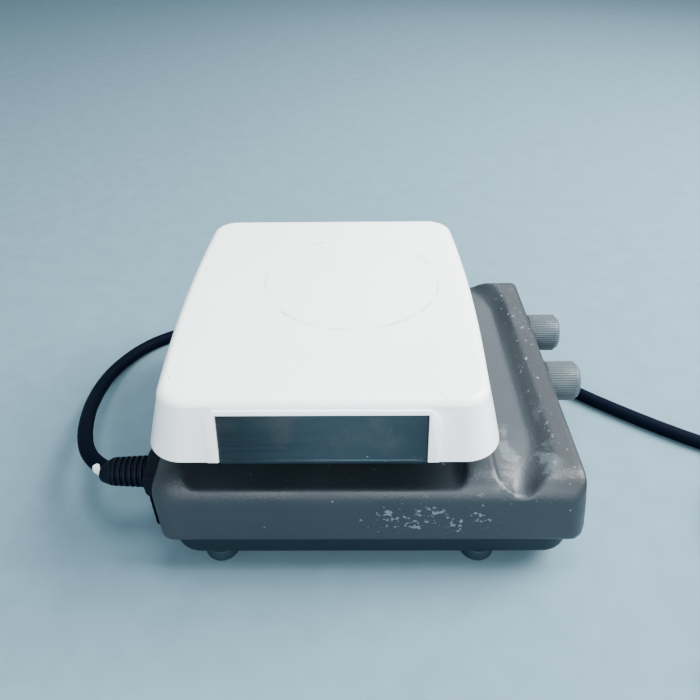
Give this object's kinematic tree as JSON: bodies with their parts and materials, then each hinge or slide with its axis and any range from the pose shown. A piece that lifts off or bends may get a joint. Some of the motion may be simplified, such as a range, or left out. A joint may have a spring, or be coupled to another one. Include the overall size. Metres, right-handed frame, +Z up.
{
  "type": "magnetic stirrer",
  "caption": "Hotplate magnetic stirrer with a rectangular ceramic top, a rotating magnet drive, heat and speed knobs, rubber feet and a plug-in mains lead.",
  "frame": {"origin": "on the surface it stands on, at the centre of the footprint without the mains lead: midway between the knobs' ends and the rear screws", "axes": "+Z up, -Y towards the user (knob side), +Y towards the mains inlet, +X to the user's right"},
  "size_m": [0.2883, 0.4682, 0.1063],
  "materials": {
    "plate_ceramic": "white glass ceramic with faint grey rub marks",
    "panel_steel": "dark brushed steel",
    "body_paint": "grey enamel on cast metal, chipped in places",
    "pan_paint": "dark grey enamel",
    "foot_rubber": "dark grey, dull",
    "knob_plastic": "mid grey, finely ribbed",
    "cord_sheath": "black, slightly glossy",
    "marker_white": "white sleeve",
    "zinc_steel": "zinc plated",
    "sheet_steel": "mill finish sheet",
    "sink_aluminium": "plain",
    "brass": "plain",
    "circuit_board": "green solder mask",
    "insulation_fibre": "pressed mineral fibre",
    "magnet_ferrite": "dark sintered ferrite",
    "black_plastic": "moulded black",
    "black_screw": "blackened screw head",
    "lens_amber": "clear amber lens"
  },
  "bodies": {
    "base": {"top_plate": "plate_ceramic", "side_panel_left": "panel_steel", "side_panel_right": "panel_steel", "body_shell": "body_paint", "base_pan": "pan_paint", "foot_1": "foot_rubber", "foot_2": "foot_rubber", "foot_3": "foot_rubber", "foot_4": "foot_rubber", "cord_lead": "cord_sheath", "cord_coil": "cord_sheath", "cord_tail": "cord_sheath", "cord_connector": "cord_sheath", "wall_plug": "cord_sheath", "cord_marker": "marker_white", "foot_screw_1": "zinc_steel", "foot_screw_2": "zinc_steel", "foot_screw_3": "zinc_steel", "foot_screw_4": "zinc_steel", "inlet_screw_left": "zinc_steel", "inlet_screw_right": "zinc_steel", "plate_post_1": "zinc_steel", "plate_post_2": "zinc_steel", "plate_post_3": "zinc_steel", "plate_post_4": "zinc_steel", "stir_motor": "zinc_steel", "heat_potentiometer": "zinc_steel", "stir_potentiometer": "zinc_steel", "temperature_probe": "zinc_steel", "heater_element": "zinc_steel", "heat_shield": "sheet_steel", "motor_bracket": "sheet_steel", "heat_sink": "sink_aluminium", "heat_nut": "brass", "stir_nut": "brass", "board_post_1": "brass", "board_post_2": "brass", "board_post_3": "brass", "board_post_4": "brass", "plug_blade_left": "brass", "plug_blade_right": "brass", "plug_earth_pin": "brass", "control_board": "circuit_board", "insulation_pad": "insulation_fibre", "mains_inlet": "black_plastic", "heat_triac": "black_plastic", "rear_screw_left": "black_screw", "rear_screw_right": "black_screw", "indicator_heat": "lens_amber", "indicator_stir": "lens_amber"},
    "stir_rotor": {"motor_shaft": "zinc_steel", "magnet_carrier": "zinc_steel", "drive_magnet_front": "magnet_ferrite", "drive_magnet_rear": "magnet_ferrite"},
    "heat_control": {"heat_knob": "knob_plastic", "heat_stem": "zinc_steel"},
    "stir_control": {"stir_knob": "knob_plastic", "stir_stem": "zinc_steel"}
  },
  "joints": [
    {"name": "stir_drive_spin", "type": "hinge", "parent": "base", "child": "stir_rotor", "pos_m": [0, 0.0321, 0.06], "axis": [0, 0, 1], "continuous": true},
    {"name": "heat_knob_turn", "type": "hinge", "parent": "base", "child": "heat_control", "pos_m": [0.0608, -0.1, 0.037], "axis": [0, 1, 0], "range_deg": [0, 300]},
    {"name": "stir_knob_turn", "type": "hinge", "parent": "base", "child": "stir_control", "pos_m": [0.0125, -0.1, 0.037], "axis": [0, 1, 0], "range_deg": [0, 300]}
  ]
}
